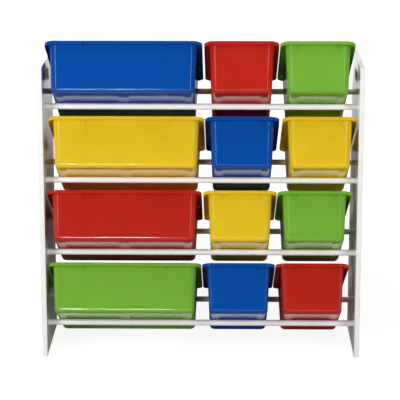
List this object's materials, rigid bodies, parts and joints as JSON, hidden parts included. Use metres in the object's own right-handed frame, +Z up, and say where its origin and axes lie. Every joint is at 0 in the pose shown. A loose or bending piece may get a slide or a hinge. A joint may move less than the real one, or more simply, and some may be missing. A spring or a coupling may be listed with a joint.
{
  "type": "toy storage rack with bins",
  "caption": "Free-standing white rack: two side boards joined by tubes that carry rows of forward-tipped, lift-out plastic bins.",
  "frame": {"origin": "on the floor, under the middle of the box round the whole rack", "axes": "+Z up; -Y is the open front, towards which the bins' mouths tip; +X is on the right of someone who stands before the front, where the wide bins are"},
  "size_m": [0.8532, 0.3176, 0.8609],
  "materials": {
    "white_board": "white laminate, semi-gloss, raw board brown inside the carrying holes",
    "white_tube": "glossy white coating",
    "glide_plastic": "dark moulded",
    "plug_plastic": "moulded",
    "bolt_steel": "zinc plated",
    "cap_plastic": "moulded, satin",
    "blue_plastic": "glossy moulded polypropylene",
    "red_plastic": "glossy moulded polypropylene",
    "green_plastic": "glossy moulded polypropylene",
    "yellow_plastic": "glossy moulded polypropylene"
  },
  "bodies": {
    "rack": {"bolt_caps_left": "cap_plastic", "bolt_caps_right": "cap_plastic", "floor_glide_front_left": "glide_plastic", "floor_glide_front_right": "glide_plastic", "floor_glide_rear_left": "glide_plastic", "floor_glide_rear_right": "glide_plastic", "front_rod_level1": "white_tube", "front_rod_level2": "white_tube", "front_rod_level3": "white_tube", "front_rod_level4": "white_tube", "rear_rod_level1": "white_tube", "rear_rod_level2": "white_tube", "rear_rod_level3": "white_tube", "rear_rod_level4": "white_tube", "rod_bolts_left": "bolt_steel", "rod_bolts_right": "bolt_steel", "rod_end_plugs_left": "plug_plastic", "rod_end_plugs_right": "plug_plastic", "side_board_left": "white_board", "side_board_right": "white_board"},
    "bin_level1_large": {"bin_level1_large_green": "green_plastic"},
    "bin_level1_middle": {"bin_level1_middle_blue": "blue_plastic"},
    "bin_level1_end": {"bin_level1_end_red": "red_plastic"},
    "bin_level2_large": {"bin_level2_large_red": "red_plastic"},
    "bin_level2_middle": {"bin_level2_middle_yellow": "yellow_plastic"},
    "bin_level2_end": {"bin_level2_end_green": "green_plastic"},
    "bin_level3_large": {"bin_level3_large_yellow": "yellow_plastic"},
    "bin_level3_middle": {"bin_level3_middle_blue": "blue_plastic"},
    "bin_level3_end": {"bin_level3_end_yellow": "yellow_plastic"},
    "bin_level4_large": {"bin_level4_large_blue": "blue_plastic"},
    "bin_level4_middle": {"bin_level4_middle_red": "red_plastic"},
    "bin_level4_end": {"bin_level4_end_green": "green_plastic"}
  },
  "joints": [
    {"name": "lift_level1_large", "type": "slide", "parent": "rack", "child": "bin_level1_large", "axis": [0, -0.5721, 0.8202], "range_m": [0, 0.02]},
    {"name": "lift_level1_middle", "type": "slide", "parent": "rack", "child": "bin_level1_middle", "axis": [0, -0.5721, 0.8202], "range_m": [0, 0.02]},
    {"name": "lift_level1_end", "type": "slide", "parent": "rack", "child": "bin_level1_end", "axis": [0, -0.5721, 0.8202], "range_m": [0, 0.02]},
    {"name": "lift_level2_large", "type": "slide", "parent": "rack", "child": "bin_level2_large", "axis": [0, -0.5721, 0.8202], "range_m": [0, 0.02]},
    {"name": "lift_level2_middle", "type": "slide", "parent": "rack", "child": "bin_level2_middle", "axis": [0, -0.5721, 0.8202], "range_m": [0, 0.02]},
    {"name": "lift_level2_end", "type": "slide", "parent": "rack", "child": "bin_level2_end", "axis": [0, -0.5721, 0.8202], "range_m": [0, 0.02]},
    {"name": "lift_level3_large", "type": "slide", "parent": "rack", "child": "bin_level3_large", "axis": [0, -0.5721, 0.8202], "range_m": [0, 0.02]},
    {"name": "lift_level3_middle", "type": "slide", "parent": "rack", "child": "bin_level3_middle", "axis": [0, -0.5721, 0.8202], "range_m": [0, 0.02]},
    {"name": "lift_level3_end", "type": "slide", "parent": "rack", "child": "bin_level3_end", "axis": [0, -0.5721, 0.8202], "range_m": [0, 0.02]},
    {"name": "lift_level4_large", "type": "slide", "parent": "rack", "child": "bin_level4_large", "axis": [0, -0.5721, 0.8202], "range_m": [0, 0.15]},
    {"name": "lift_level4_middle", "type": "slide", "parent": "rack", "child": "bin_level4_middle", "axis": [0, -0.5721, 0.8202], "range_m": [0, 0.15]},
    {"name": "lift_level4_end", "type": "slide", "parent": "rack", "child": "bin_level4_end", "axis": [0, -0.5721, 0.8202], "range_m": [0, 0.15]}
  ]
}
